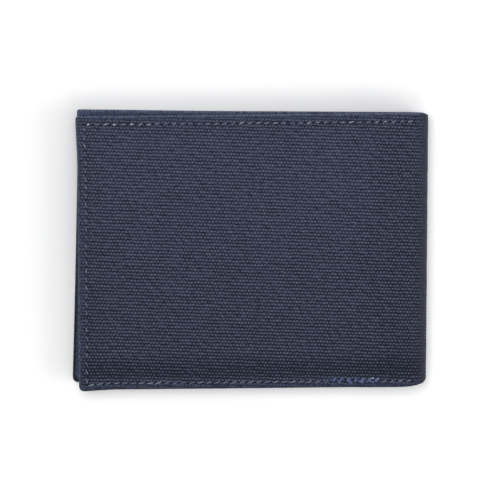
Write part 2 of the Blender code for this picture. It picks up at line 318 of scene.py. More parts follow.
def seam_relief(leaf, a, y, strength=1.0, sides=(0, 1, 2)):
    """The furrow that a seam pulls into the cloth, dimpled at its holes and puckered beside."""
    lift = np.zeros(np.broadcast(a, y).shape)
    windows = seam_window(leaf, a, y)
    for side in sides:
        off, along, sewn = windows[side]
        hole = (along / STITCH - np.round(along / STITCH)) * STITCH
        furrow = 0.24 * MM * np.exp(-((off / (0.75 * MM)) ** 2))
        dimple = 0.16 * MM * np.exp(-((off / (0.5 * MM)) ** 2) - (hole / (0.55 * MM)) ** 2)
        pucker = 0.045 * MM * np.cos(2 * math.pi * along / STITCH)
        pucker *= np.exp(-np.abs(off) / (2.2 * MM))
        lift -= (furrow + dimple + pucker) * sewn * strength
    return lift


def edge_distance(leaf, a, y):
    """Distance in from the nearest turned edge, rounded where two meet."""
    gaps = (a + leaf.length, y - leaf.low(a), leaf.high(a) - y)
    near = sum(1 / np.maximum(gap, 1e-7) ** 3 for gap in gaps)
    return near ** (-1 / 3)


def canvas_lift(leaf, a, y):
    """How far the canvas stands off its nominal face, ribs included."""
    edge = edge_distance(leaf, a, y)
    _, up = leaf.weave(a, y)
    rib = RIB_HEIGHT * (0.5 * np.cos(2 * math.pi * up) - 0.5)
    rib *= 0.9 + 0.1 * ripples(a, y, 9 * MM, seed=2)
    field = smooth(edge, SEAM, SEAM + 7 * MM) * smooth(-a, -6 * MM, 6 * MM)
    crown = 0.35 * MM * field + 0.12 * MM * field * ripples(a, y, 26 * MM, seed=3)
    crown *= leaf.name == "front"
    fine = 0.018 * MM * ripples(a, y, 5 * MM, seed=4)
    return (rib + fine) * smooth(edge, 0, 0.6 * MM) + crown + seam_relief(leaf, a, y)


def canvas_depth(leaf, a, y):
    """Depth of the canvas's outer face, which rolls over at its edges."""
    edge = edge_distance(leaf, a, y)
    roll = corner_rise(ROLL, edge)
    return roll - canvas_lift(leaf, a, y) * smooth(edge, 0.0, 0.9 * MM)


def border_path(columns, rows):
    """A grid's places from the spine's top corner, round its three edges, to its bottom corner."""
    top = [(i, rows - 1) for i in range(columns - 1, -1, -1)]
    free = [(0, j) for j in range(rows - 2, -1, -1)]
    bottom = [(i, 0) for i in range(1, columns)]
    return top + free + bottom


def pick(places, wanted):
    """The indices of the places nearest to these, each once."""
    return sorted({int(np.abs(places - value).argmin()) for value in wanted})


class Skin:
    """A leaf's canvas as it grows: vertices, their places on the cloth and looks, and faces."""

    def __init__(self):
        self.count = 0
        self.points = []
        self.places = []
        self.faces = []
        # Of these looks, wear is the cloth's own wear; the other two are a painted highlight and
        # painted shade.
        self.looks = {"wear": [], "crease": [], "shade": []}

    def add(self, points, places, **looks):
        """Adds vertices, and returns the number of the first."""
        first = self.count
        self.points.append(points.reshape(-1, 3))
        self.places.append(places.reshape(-1, 2))
        for title, values in self.looks.items():
            values.append(np.broadcast_to(looks[title], places.shape[:-1]).ravel())
        self.count += len(self.points[-1])
        return first


def canvas_lines(leaf):
    """Grid lines of the canvas's face in a and in y, closest where it turns over."""
    start = -leaf.length
    columns = spread(
        (start, start + 1.4 * MM, 0.2 * MM),
        (start + 1.4 * MM, start + 4.6 * MM, 0.35 * MM),
        (start + 4.6 * MM, -2 * MM, 0.68 * MM),
        (-2 * MM, SPINE_HALF, 0.5 * MM),
    )
    turn = HALF_HEIGHT - 1.2 * MM
    levels = spread(
        (-HALF_HEIGHT, -turn, 0.2 * MM),
        (-turn, turn, 0.27 * MM),
        (turn, HALF_HEIGHT, 0.2 * MM),
    )
    return columns, levels


def back_lines(leaf, columns, levels):
    """Which of the face's grid lines its coarser back keeps."""
    start = -leaf.length
    kept_a = [start, start + 0.6 * MM, start + 0.95 * MM, start + 2.6 * MM]
    kept_a += list(np.arange(start + 6 * MM, 0, 5 * MM)) + list(np.linspace(0, SPINE_HALF, 10))
    kept_y = [-HALF_HEIGHT, -HALF_HEIGHT + 0.6 * MM, -HALF_HEIGHT + 0.95 * MM]
    kept_y += list(np.arange(-HALF_HEIGHT + 3 * MM, HALF_HEIGHT - 7 * MM, 5 * MM))
    kept_y += [HALF_HEIGHT - TOP_HEM, HALF_HEIGHT - TOP_HEM + 0.4 * MM]
    kept_y += [HALF_HEIGHT - 2 * MM, HALF_HEIGHT]
    return pick(columns, kept_a), pick(levels, kept_y)


def painted_free_edge_shade(leaf, y):
    """Painted shade on the back leaf's free edge at this height, strongest towards the bottom."""
    return smooth(-y, 5 * MM, 32 * MM) * (leaf.name == "back")


def add_face(skin, leaf, columns, levels):
    """The outer face: worn along its edges and its fold, with painted shade along some edges and
    the fold, and a painted highlight along others.
    """
    a, level = np.meshgrid(columns, levels, indexing="ij")
    low, high = leaf.low(a), leaf.high(a)
    share = (level + HALF_HEIGHT) / HEIGHT
    y = low + (high - low) * share
    depth = canvas_depth(leaf, a, y)
    worn = 1 - smooth(edge_distance(leaf, a, y), 0.5 * MM, 2.4 * MM)
    fold = smooth(a, 0.4 * SPINE_HALF, 0.55 * SPINE_HALF)
    top_line = 1 - smooth(high - y, 0.15 * MM, 0.6 * MM)
    free_line = 1 - smooth(a + leaf.length, 0.2 * MM, 0.9 * MM)
    low_line = 1 - smooth(y - low, 0.3 * MM, 0.9 * MM)
    spine_shade = 0.42 * smooth(a, 0.5 * MM, 4.5 * MM) + 0.2 * fold
    # Painted highlight along the top edge and the front leaf's free edge; painted shade along the
    # bottom edge, the back leaf's lower free edge and round the spine's fold.
    skin.add(
        leaf.place(a, y, depth),
        np.stack([a, y], -1),
        wear=np.maximum(worn, fold),
        crease=np.maximum(top_line, 0.45 * free_line * (leaf.name == "front")),
        shade=np.maximum.reduce([0.5 * low_line, painted_free_edge_shade(leaf, y) * free_line, spine_shade]),
    )
    skin.faces += grid_faces(*a.shape)
    return depth


def add_rim(skin, leaf, border, depth):
    """Rings that run down and in from the face's border vertices. The first ring is the border."""
    place = skin.places[0][border]
    tangent = np.gradient(place, axis=0)
    normal = np.stack([tangent[:, 1], -tangent[:, 0]], -1)
    normal /= np.linalg.norm(normal, axis=1, keepdims=True)
    normal[0], normal[-1] = (0, 1), (0, -1)
    start = depth.ravel()[border]
    topness = smooth(place[:, 1], 39 * MM, 42 * MM)
    lowness = smooth(-place[:, 1], 39 * MM, 42 * MM)
    full = EDGE_DEPTH + (TOP_EDGE_DEPTH - EDGE_DEPTH) * topness
    steps = [(0.0, 0.5, 0.0), (0.0, 1.0, 0.0)]
    steps += [(1 - math.cos(t), 1.0, math.sin(t)) for t in np.radians((25, 45, 65))]
    rings = [border]
    travelled = np.zeros(len(border))
    before = np.stack([travelled, start], -1)
    for inset, drop, roll in steps:
        down = start + (full - ROLL - start) * drop + ROLL * roll
        at = place - normal * inset * ROLL
        now = np.stack([np.full(len(border), inset * ROLL), down], -1)
        travelled = travelled + np.linalg.norm(now - before, axis=1)
        before = now
        # Rims along the top get a painted highlight; those along the bottom and the back leaf's
        # lower free edge get painted shade.
        first = skin.add(
            leaf.place(at[:, 0], at[:, 1], down),
            place + normal * travelled[:, None],
            wear=1 - 0.6 * topness,
            crease=0.9 * topness,
            shade=np.maximum(lowness, painted_free_edge_shade(leaf, place[:, 1])),
        )
        ring = first + np.arange(len(border))
        above = rings[-1]
        skin.faces += np.stack([above[:-1], above[1:], ring[1:], ring[:-1]], -1).tolist()
        rings.append(ring)
    return rings


def add_back(skin, leaf, columns, levels):
    """The back of the canvas, which steps over its turned-in hems. Returns its first vertex."""
    inset_a = columns + ROLL * (SPINE_HALF - columns) / (SPINE_HALF + leaf.length)
    a, share = np.meshgrid(inset_a, (levels + HALF_HEIGHT) / HEIGHT, indexing="ij")
    low, high = leaf.low(a - ROLL) + ROLL, leaf.high(a - ROLL) - ROLL
    y = low + (high - low) * share
    near_edge = np.minimum(a + leaf.length, y - low + ROLL)
    lip = 1 - smooth(near_edge, EDGE_LIP + 0.05 * MM, EDGE_LIP + 0.25 * MM)
    top_lip = 1 - smooth(high + ROLL - y, TOP_HEM + 0.1 * MM, TOP_HEM + 0.4 * MM)
    depth = CANVAS + (EDGE_DEPTH - CANVAS) * lip * (1 - top_lip)
    depth += (TOP_EDGE_DEPTH - CANVAS) * top_lip
    # The top hem's strip, seen above the front leaf, gets a painted highlight.
    first = skin.add(
        leaf.place(a, y, depth), np.stack([a, y], -1), wear=0.0, crease=0.8 * top_lip, shade=0.0
    )
    skin.faces += grid_faces(*a.shape, first)
    return first


def join_back(skin, path, rings, kept_i, kept_j, first):
    """Faces from the rim to the back, which starts at vertex first, and one that ends the cloth."""
    rows = len(kept_j)
    where = {spot: k for k, spot in enumerate(path)}
    coarse = border_path(len(kept_i), rows)
    for (i0, j0), (i1, j1) in zip(coarse, coarse[1:]):
        one, two = where[kept_i[i0], kept_j[j0]], where[kept_i[i1], kept_j[j1]]
        run = rings[-1][one : two + 1].tolist()
        skin.faces.append(run + [first + i1 * rows + j1, first + i0 * rows + j0])
    bottom, top = int(rings[0][-1]), int(rings[0][0])
    end = first + (len(kept_i) - 1) * rows
    cap = list(range(bottom, top + 1))
    cap += [int(ring[0]) for ring in rings[1:]]
    cap += [end + j for j in range(rows - 1, -1, -1)]
    cap += [int(ring[-1]) for ring in rings[:0:-1]]
    skin.faces.append(cap)


def canvas_piece(leaf, material):
    """A leaf's outer canvas and its half of the spine: face, rolled edges, hems and back."""
    columns, levels = canvas_lines(leaf)
    kept_i, kept_j = back_lines(leaf, columns, levels)
    path = border_path(len(columns), len(levels))
    border = np.array([i * len(levels) + j for i, j in path])
    skin = Skin()
    depth = add_face(skin, leaf, columns, levels)
    rings = add_rim(skin, leaf, border, depth)
    first = add_back(skin, leaf, columns[kept_i], levels[kept_j])
    join_back(skin, path, rings, kept_i, kept_j, first)

    places = np.concatenate(skin.places)
    across, up = leaf.weave(places[:, 0], places[:, 1])
    seams = (places + (leaf.length, HALF_HEIGHT)) / MM
    obj = make_mesh(
        leaf.name + "_canvas",
        np.concatenate(skin.points),
        skin.faces,
        {"Cloth": np.stack([across, up], -1), "Seams": seams},
        [(title, np.concatenate(values)) for title, values in skin.looks.items()],
    )
    settle(obj, leaf, material, (leaf.name + "_cover", "spine_cover"), 0.0)


# ---- flat layers


def edge_lines(start, end, step, rounding, extra=()):
    """Grid lines, close together inside each end and at each extra line, where edges are round."""
    near = [share * rounding for share in (0.0, 0.12, 0.45, 1.0)]
    lines = spread((start + rounding, end - rounding, step)).tolist()
    lines += [start + gap for gap in near] + [end - gap for gap in near]
    lines += [stop + side * gap for stop in extra for gap in near for side in (-1, 1)]
    lines = np.unique(np.round(lines, 9))
    return lines[np.concatenate([[True], np.diff(lines) > 0.01 * MM])]


def around_hole(a, y, hole):
    """How far each place is outside a hole, and which grid cells are."""
    a0, a1, y0, y1 = hole
    gap = np.maximum(np.maximum(a0 - a, a - a1), np.maximum(y0 - y, y - y1))
    mid_a = (a[:-1, :-1] + a[1:, 1:]) / 2
    mid_y = (y[:-1, :-1] + y[1:, 1:]) / 2
    return gap, ~((mid_a > a0) & (mid_a < a1) & (mid_y > y0) & (mid_y < y1))


def slab(
    name, leaf, columns, levels, bottom, top, layer, lift=None, to_spine=False, hole=None, corner=0
):
    """A layer of cloth between two depths, with round edges.

    bottom and top give its lower and upper edge's y at each a. lift moves both faces inwards,
    towards the other leaf. to_spine leaves the end at the middle of the spine flat, where the other
    leaf's half meets it. hole is (a0, a1, y0, y1). corner is the radius of its corners.
    """
    a, share = np.meshgrid(columns, levels, indexing="ij")
    left, right = columns[0], columns[-1]
    draw = corner_rise(corner, a - left) + corner_rise(corner, right - a)
    low, high = bottom(a) + draw, top(a) - draw
    y = low + (high - low) * share
    gaps = [a - left, y - low, high - y]
    if not to_spine:
        gaps.append(right - a)
    keep = None
    if hole:
        gap, keep = around_hole(a, y, hole)
        gaps.append(gap)
    half = (layer[1] - layer[0]) / 2
    edge = np.minimum.reduce(gaps)
    full = np.sqrt(1 - (1 - np.clip(edge / (1.2 * half), 0, 1)) ** 2)
    middle = (layer[0] + layer[1]) / 2 + (lift(a, y) if lift else 0.0)
    both = [leaf.place(a, y, middle + side * half * full) for side in (-1, 1)]
    nc, nr = a.shape
    faces = grid_faces(nc, nr, 0, keep) + grid_faces(nc, nr, nc * nr, keep)
    if to_spine:
        one, two = (nc - 1) * nr, (2 * nc - 1) * nr
        faces += [[one + j, one + j + 1, two + j + 1, two + j] for j in range(nr - 1)]
    used = np.unique(faces)
    renumber = np.full(2 * nc * nr, -1)
    renumber[used] = np.arange(len(used))
    points = np.concatenate([side.reshape(-1, 3) for side in both])[used]
    cloth = np.stack([a, y], -1).reshape(-1, 2) / MM
    maps = {"Cloth": np.concatenate([cloth, cloth])[used]}
    return make_mesh(name, points, renumber[np.array(faces)].tolist(), maps, weld=0.002 * MM)


def level_lines(height, step, rounding, extra=()):
    """edge_lines as shares of this height."""
    return edge_lines(0.0, height, step, rounding, extra) / height


def full_layer(
    name, leaf, layer, lift, material, replaces, *, inset, mouth, step, spine_step
):
    """A layer that runs from a leaf's free edge to the middle of the spine.

    inset is how far it stops short of the free and bottom edges, and mouth of the top edge.
    """
    rounding = 0.6 * (layer[1] - layer[0])
    start = -leaf.length + inset
    columns = edge_lines(start, 0.0, step, rounding)
    columns = columns[columns < -rounding]
    columns = np.concatenate([columns, spread((-rounding, SPINE_HALF, spine_step))])
    levels = level_lines(HEIGHT - inset - mouth, step, rounding)
    obj = slab(
        name, leaf, columns, levels,
        lambda a: leaf.low(a - inset) + inset,
        lambda a: leaf.high(a - inset) - mouth,
        layer, lift, to_spine=True,
    )
    settle(obj, leaf, material, replaces, sum(layer) / 2)


def pleats(count, height):
    """Folds along the spine, which hold the slack that the cloth needs when the wallet opens."""

    def lift(a, y):
        share = np.clip(a / SPINE_HALF, 0, 1)
        fade = smooth(share, 0, 0.12) * smooth(1 - share, 0, 0.12)
        wander = 0.25 * ripples(a, y, 30 * MM, seed=8)
        return height * fade * np.sin(2 * math.pi * (count * share + wander * fade))

    return lift


def inner_panel_lift(leaf):
    """The inner panel is pleated at the spine, and drawn in by its seam elsewhere."""
    fold = pleats(3, 0.32 * MM)

    def lift(a, y):
        flat = smooth(-a, 0, 3 * MM)
        sewn = seam_relief(leaf, a, y, 0.45, sides=(1, 2))
        uneven = 0.05 * MM * ripples(a, y, 14 * MM, seed=11)
        return fold(a, y) + sewn * flat + uneven * flat

    return lift


def pocket_shape(leaf, hem, inset=0.0):
    """(left, right, bottom, top) of a pocket with this hem, or of that brought in on all sides."""
    return (
        -leaf.length + POCKET_MARGIN + inset,
        -POCKET_SPINE_MARGIN - inset,
        -HALF_HEIGHT + POCKET_MARGIN + inset,
        -HALF_HEIGHT + hem - inset,
    )


def pocket_lift(shape, seed):
    """A pocket lies a little slack: its hem bows out in the middle, and its seams pull it in."""
    left, right, _, top = shape

    def lift(a, y):
        across = np.sin(math.pi * np.clip((a - left) / (right - left), 0, 1))
        near_hem = smooth(y, top - 16 * MM, top)
        band = 0.07 * MM * (smooth(y, top - 6.6 * MM, top - 6.2 * MM) - 0.5)
        hem_seam = 0.06 * MM * np.exp(-(((y - top + HEM_SEAM) / (0.4 * MM)) ** 2))
        slack = 0.16 * MM * across * near_hem + 0.03 * MM * ripples(a, y, 12 * MM, seed=seed)
        return band - hem_seam + slack

    return lift


def plain_pocket(name, leaf, hem, layer, seed, material, replaces, hole=None, inset=0.0):
    """A rectangle of cloth or film laid on the inner panel, up to this hem."""
    shape = pocket_shape(leaf, hem, inset)
    left, right, bottom, top = shape
    rounding = 0.6 * (layer[1] - layer[0])
    extra_a, extra_y = (), ()
    if hole:
        extra_a = hole[:2]
        extra_y = (hole[2] - bottom, hole[3] - bottom)
    obj = slab(
        name, leaf,
        edge_lines(left, right, 1.2 * MM, rounding, extra_a),
        level_lines(top - bottom, 1.2 * MM, rounding, extra_y),
        lambda a: np.full(a.shape, bottom),
        lambda a: np.full(a.shape, top),
        layer, pocket_lift(shape, seed), hole=hole, corner=0.0 if hole else 1.0 * MM,
    )
    area = (right - left) * (top - bottom)
    if hole:
        area -= (hole[1] - hole[0]) * (hole[3] - hole[2])
    return settle(obj, leaf, material, replaces)


# ---- thread


def stitch_shape(length, radius):
    """One stitch along x, with its two plies twisted: each vertex's place, and the faces."""
    points, faces = [], []
    thick = min(radius, MOST_THREAD)
    for ring in range(STITCH_RINGS):
        t = 2 * ring / (STITCH_RINGS - 1) - 1
        slim = max(1 - abs(t) ** 5, 0.0) ** 0.5 * 0.9 + 0.1
        height = 0.55 * thick * (1 - t**4) - STITCH_SINK * t**4
        for side in range(STITCH_SIDES):
            angle = 2 * math.pi * side / STITCH_SIDES
            ply = 1 + 0.2 * math.cos(2 * (angle - 3.2 * t))
            across = radius * slim * ply * math.cos(angle)
            up = height + 0.85 * thick * slim * ply * math.sin(angle)
            points.append((t * length / 2, across, up))
    last = (STITCH_RINGS - 1) * STITCH_SIDES
    for ring in range(0, last, STITCH_SIDES):
        for side in range(STITCH_SIDES):
            one, two = ring + side, ring + (side + 1) % STITCH_SIDES
            faces.append([one, two, two + STITCH_SIDES, one + STITCH_SIDES])
    faces.append(list(range(STITCH_SIDES))[::-1])
    faces.append([last + side for side in range(STITCH_SIDES)])
    return np.array(points), faces


def row(start, end, radius, tone, pitch=POCKET_STITCH, fill=0.8, slant=0.12, pale=()):
    """A row of stitches between two places on the cloth.

    fill is the share of the pitch that a stitch fills, slant its angle to the row, tone how pale it
    is, and pale lists the stitches that are almost white.
    """
    return start, end, pitch, fill, radius, slant, tone, pale


def rows_through(corners, radius, tone, **looks):
    """Rows of stitches from each of these places to the next."""
    return [row(start, end, radius, tone, **looks) for start, end in zip(corners, corners[1:])]


def surface(face, lift):
    """The depth at any place of a cloth whose face stands at one depth, moved inwards by lift."""
    return lambda a, y: face + float(lift(np.array(a), np.array(y)))


def stitches(name, leaf, runs, depth_of, material, replaces, outward=1, depth=None):
    """Rows of separate stitches as one piece.

    depth_of gives the cloth's depth where a stitch lies, and outward is 1 where it stands off the
    outer face, -1 inside.
    """
    points, faces, tones, spots = [], [], [], []
    for start, end, pitch, fill, radius, slant, tone, pale in runs:
        start, end = np.array(start), np.array(end)
        reach = float(np.linalg.norm(end - start))
        count = max(1, round(reach / pitch))
        along = (end - start) / reach
        step = reach / count
        for number in range(count):
            turn = slant * rng.uniform(0.65, 1.3) + rng.normal(0, math.radians(3))
            cos, sin = math.cos(turn), math.sin(turn)
            heading = np.array((along[0] * cos - along[1] * sin, along[0] * sin + along[1] * cos))
            beside = np.array((-heading[1], heading[0]))
            middle = start + along * step * (number + 0.5) + rng.normal(0, 0.04 * MM, 2)
            size = radius * rng.uniform(0.9, 1.12)
            length = step * fill * rng.uniform(0.88, 1.1) * (0.5 if number in pale else 1)
            shape, shape_faces = stitch_shape(length, size)
            at = middle + shape[:, :1] * heading + shape[:, 1:2] * beside
            level = depth_of(middle[0], middle[1])
            first = sum(len(p) for p in points)
            points.append(leaf.place(at[:, 0], at[:, 1], level - outward * shape[:, 2]))
            faces += [[first + v for v in face] for face in shape_faces]
            spots.append(shape[:, :2] / MM)
            shade = 1.0 if number in pale else min(tone + rng.normal(0, 0.13), 0.8)
            tones.append(np.full(len(shape), np.clip(shade, 0, 1)))
    maps = {"Cloth": np.concatenate(spots)}
    looks = [("tone", np.concatenate(tones))]
    obj = make_mesh(name, np.concatenate(points), faces, maps, looks)
    settle(obj, leaf, material, replaces, depth)


def outer_stitches(leaf, material):
    """The edge seam on the canvas: top, free edge and bottom, with a back-stitched stretch."""
    side = -leaf.length + SEAM
    reach = HALF_HEIGHT - SEAM
    low = -HALF_HEIGHT + LOW_SEAM
    end = side + LONG_SEAM
    first, last = BACKSTITCHES
    upper, lower, inset = low + 0.5 * MM, low - 0.3 * MM, 1 * MM
    loose_end = (-12.1 * MM, low + 1.2 * MM), (-10.7 * MM, low + 0.8 * MM)
    fine, coarse, fat = 0.16 * MM, 0.19 * MM, (0.46 * MM, 0.42 * MM)
    runs = [
        row((side, reach), (end, reach), fine, 0.6, STITCH, 0.62, EDGE_SLANT, (0, 3, 5)),
        row((side, reach), (side, low), fine, 0.5, STITCH, 0.72, EDGE_SLANT),
        row((side, low), (first, low), coarse, 0.45, STITCH, 0.8, EDGE_SLANT),
        row((last, low), (end, low), coarse, 0.5, STITCH, 0.75, EDGE_SLANT),
        row((first, upper), (last, upper), fat[0], 0.05, 2.3 * MM, 0.95, 0.9),
        row((first + inset, lower), (last - inset, lower), fat[1], 0.0, 3.4 * MM, 0.6, -0.6),
        row(*loose_end, 0.2 * MM, 1, STITCH, 0.8, 0, (0,)),
    ]
    level = surface(-0.05 * MM, lambda a, y: canvas_depth(leaf, a, y))
    replaces = (leaf.name + "_outer_stitching",)
    stitches(leaf.name + "_edge_stitches", leaf, runs, level, material, replaces, depth=0.0)


def inner_stitches(leaf, material):
    """The same seam on the inner panel."""
    side = -leaf.length + SEAM
    reach = HALF_HEIGHT - SEAM
    low = -HALF_HEIGHT + LOW_SEAM
    corners = [(side, reach - 1.0 * MM), (side, low), (-2.0 * MM, low)]
    runs = rows_through(corners, 0.15 * MM, 0.45, pitch=STITCH, slant=0.15)
    level = surface(INNER_PANEL[1] + 0.02 * MM, inner_panel_lift(leaf))
    replaces = (leaf.name + "_inner_stitching",)
    stitches(leaf.name + "_inner_stitches", leaf, runs, level, material, replaces, outward=-1)


def pocket_stitches(leaf, hem, face, seed, material):
    """The seam down the pockets' sides and along their bottom, sewn through the top one."""
    left, right, bottom, top = pocket_shape(leaf, hem, POCKET_SEAM)
    high = top + POCKET_SEAM - 0.6 * MM
    corners = [(left, high), (left, bottom), (right, bottom), (right, high)]
    runs = rows_through(corners, 0.13 * MM, 0.6)
    level = surface(face, pocket_lift(pocket_shape(leaf, hem), seed))
    replaces = (leaf.name + "_pocket_stitching",)
    stitches(leaf.name + "_pocket_stitches", leaf, runs, level, material, replaces, outward=-1)


def hem_stitches(name, leaf, hem, face, seed, material):
    """A row of stitches along a pocket's hem."""
    shape = pocket_shape(leaf, hem)
    left, right, _, top = shape
    y = top - HEM_SEAM
    runs = [row((left + 1.0 * MM, y), (right - 1.0 * MM, y), 0.12 * MM, 0.6)]
    level = surface(face, pocket_lift(shape, seed))
    stitches(name, leaf, runs, level, material, (), outward=-1)


# ---- materials


class Nodes:
    """A short way to write a material's node tree."""

    def __init__(self, name):
        self.material = bpy.data.materials.new(name)
        self.material.use_nodes = True
        self.tree = self.material.node_tree
        self.shader = self.tree.nodes["Principled BSDF"]

    def add(self, kind, inputs=(), **settings):
        node = self.tree.nodes.new(kind)
        for key, value in settings.items():
            setattr(node, key, value)
        for key, value in dict(inputs).items():
            self.put(node.inputs[key], value)
        return node

    def put(self, socket, value):
        if isinstance(value, bpy.types.NodeSocket):
            self.tree.links.new(value, socket)
        else:
            socket.default_value = value

    def math(self, operation, *values, clamp=False):
        node = self.add("ShaderNodeMath", operation=operation, use_clamp=clamp)
        for socket, value in zip(node.inputs, values):
            self.put(socket, value)
        return node.outputs[0]

    def wave(self, turns):
        """0.5 + 0.5 cos of this many turns."""
        angle = self.math("MULTIPLY", turns, 2 * math.pi)
        return self.math("MULTIPLY_ADD", self.math("COSINE", angle), 0.5, 0.5)

    def ramp(self, value, stops):
        node = self.add("ShaderNodeValToRGB", {"Fac": value})
        elements = node.color_ramp.elements
        while len(elements) < len(stops):
            elements.new(0.5)
        for element, (place, colour) in zip(elements, stops):
            element.position = place
            element.color = (*colour, 1)
        return node.outputs["Color"]

    def noise(self, vector, scale, detail):
        node = self.add("ShaderNodeTexNoise", {"Vector": vector, "Scale": scale, "Detail": detail})
        return node.outputs["Fac"]

    def cloth(self, name="Cloth"):
        return self.add("ShaderNodeUVMap", uv_map=name).outputs["UV"]

    def attribute(self, name):
        return self.add("ShaderNodeAttribute", attribute_name=name).outputs["Fac"]

    def vector(self, operation, one, two):
        node = self.add("ShaderNodeVectorMath", {0: one, 1: two}, operation=operation)
        return node.outputs[0]

    def split(self, vector):
        parts = self.add("ShaderNodeSeparateXYZ", {"Vector": vector})
        return parts.outputs["X"], parts.outputs["Y"]

    def finish(self, colour, roughness, specular=None):
        """Sets the shader's colour and roughness, and its specular level if one is given."""
        self.put(self.shader.inputs["Base Color"], colour)
        self.put(self.shader.inputs["Roughness"], roughness)
        if specular is not None:
            self.shader.inputs["Specular IOR Level"].default_value = specular

    def mix(self, factor, one, two):
        node = self.add("ShaderNodeMix", data_type="RGBA")
        self.put(node.inputs[0], factor)
        self.put(node.inputs[6], one)
        self.put(node.inputs[7], two)
        return node.outputs[2]

    def bump(self, height, distance, strength=1.0):
        inputs = {"Height": height, "Distance": distance, "Strength": strength}
        node = self.add("ShaderNodeBump", inputs)
        self.put(self.shader.inputs["Normal"], node.outputs["Normal"])


def linear(red, green, blue):
    """A colour in scene values from its display values of 0 to 255."""
    return tuple(
        (v / 255 / 12.92) if v <= 10.3 else ((v / 255 + 0.055) / 1.055) ** 2.4
        for v in (red, green, blue)
    )


def seam_holes(n):
    """1 at the stitch holes of the canvas's three seams, and 0 away from them."""
    x, y = n.split(n.cloth("Seams"))
    top_y, low_y, pitch = (HEIGHT - SEAM) / MM, LOW_SEAM / MM, STITCH / MM
    along = n.math("SUBTRACT", x, SEAM / MM)
    above = n.math("SUBTRACT", y, low_y)
    below = n.math("SUBTRACT", top_y, y)
    side_pitch = (top_y - low_y) / round((top_y - low_y) / pitch)
    total = 0.0
    seams = (below, along, pitch), (along, above, side_pitch), (above, along, pitch)
    for off, run, step in seams:
        turns = n.math("DIVIDE", run, step)
        gap = n.math("MULTIPLY", n.math("SUBTRACT", turns, n.math("ROUND", turns)), step)
        spread_out = n.math("ADD", n.math("MULTIPLY", gap, gap), n.math("MULTIPLY", off, off))
        hole = n.math("EXPONENT", n.math("MULTIPLY", spread_out, -7.0))
        total = n.math("ADD", total, hole)
    margin = 0.3
    to_end = n.math("SUBTRACT", LONG_SEAM / MM + margin, along)
    ends = n.math("MINIMUM", n.math("ADD", along, margin), to_end)
    ends = n.math("MINIMUM", ends, n.math("ADD", above, margin))
    return n.math("MULTIPLY", total, n.math("GREATER_THAN", ends, 0.0), clamp=True)


def painted_light_and_shade(n):
    """Painted light and shade in the tone: lighter towards the top, darker by the spine's curve and
    in a band above the low seam.
    """
    x, y = n.split(n.cloth("Seams"))
    upwards = n.math("MULTIPLY_ADD", y, 0.15 * MM / HEIGHT, -0.075)
    spinewards = n.math("SUBTRACT", x, BACK_LENGTH / MM - 22)
    darker = n.math("MULTIPLY", n.math("DIVIDE", spinewards, 16.0, clamp=True), -0.07)
    # Painted shade in the dip above the low seam.
    above_seam = n.math("DIVIDE", n.math("SUBTRACT", y, 3.0), 1.5, clamp=True)
    higher = n.math("DIVIDE", n.math("SUBTRACT", y, 6.5), 5.0, clamp=True)
    band = n.math("MULTIPLY", above_seam, n.math("SUBTRACT", 1.0, higher))
    return n.math("MULTIPLY_ADD", band, -0.2, n.math("ADD", upwards, darker))


def yarn_unevenness(n, cloth):
    """Thick and thin places in the yarns, which even out over longer stretches."""
    one = n.vector("MULTIPLY", cloth, (0.5, 1.0, 1.0))
    two = n.vector("ADD", one, (0.3, 0.8, 0.0))
    return n.math("SUBTRACT", n.noise(one, 0.8, 1.0), n.noise(two, 0.8, 1.0))


def wavy(n, cloth):
    """Places on the cloth whose yarns wander a little to and fro."""
    wobble = n.add("ShaderNodeTexNoise", {"Vector": cloth, "Scale": 0.45, "Detail": 3.0})
    centred = n.vector("SUBTRACT", wobble.outputs["Color"], (0.5, 0.5, 0.5))
    return n.vector("ADD", cloth, n.vector("MULTIPLY", centred, (1.2, 0.6, 0.0)))


def dyed(n, cloth, tone, hole, over):
    """The canvas's colour: its yarns' tone, then what is worn, then painted highlight and painted
    shade, then the stitch holes.
    """
    colour = n.ramp(
        tone,
        (
            (0.0, linear(8, 12, 26)),
            (0.25, linear(32, 38, 58)),
            (0.55, linear(52, 58, 78)),
            (1.0, linear(78, 84, 101)),
        ),
    )
    rubbed_stops = ((0.38, linear(18, 22, 38)), (0.62, linear(56, 62, 86)))
    rubbed = n.ramp(n.noise(cloth, 0.6, 3.0), rubbed_stops)
    colour = n.mix(n.math("MULTIPLY", n.attribute("wear"), 0.65), colour, rubbed)
    patchy = n.math("MULTIPLY_ADD", n.noise(cloth, 0.45, 3.0), 3.6, -1.1, clamp=True)
    patchy = n.math("MULTIPLY_ADD", patchy, 0.9, 0.1)
    # A painted highlight in pale blue-grey, strongest on the yarns' crossings, then painted shade
    # towards near black.
    crease = n.math("MULTIPLY", n.attribute("crease"), patchy)
    crease = n.math("MULTIPLY", crease, n.math("MULTIPLY_ADD", over, 0.7, 0.5), clamp=True)
    shade = n.math("MULTIPLY", n.attribute("shade"), 0.9)
    colour = n.mix(crease, colour, (*linear(96, 106, 132), 1))
    colour = n.mix(shade, colour, (*linear(16, 18, 30), 1))
    return n.mix(n.math("MULTIPLY", hole, 0.85), colour, (*linear(12, 13, 22), 1))


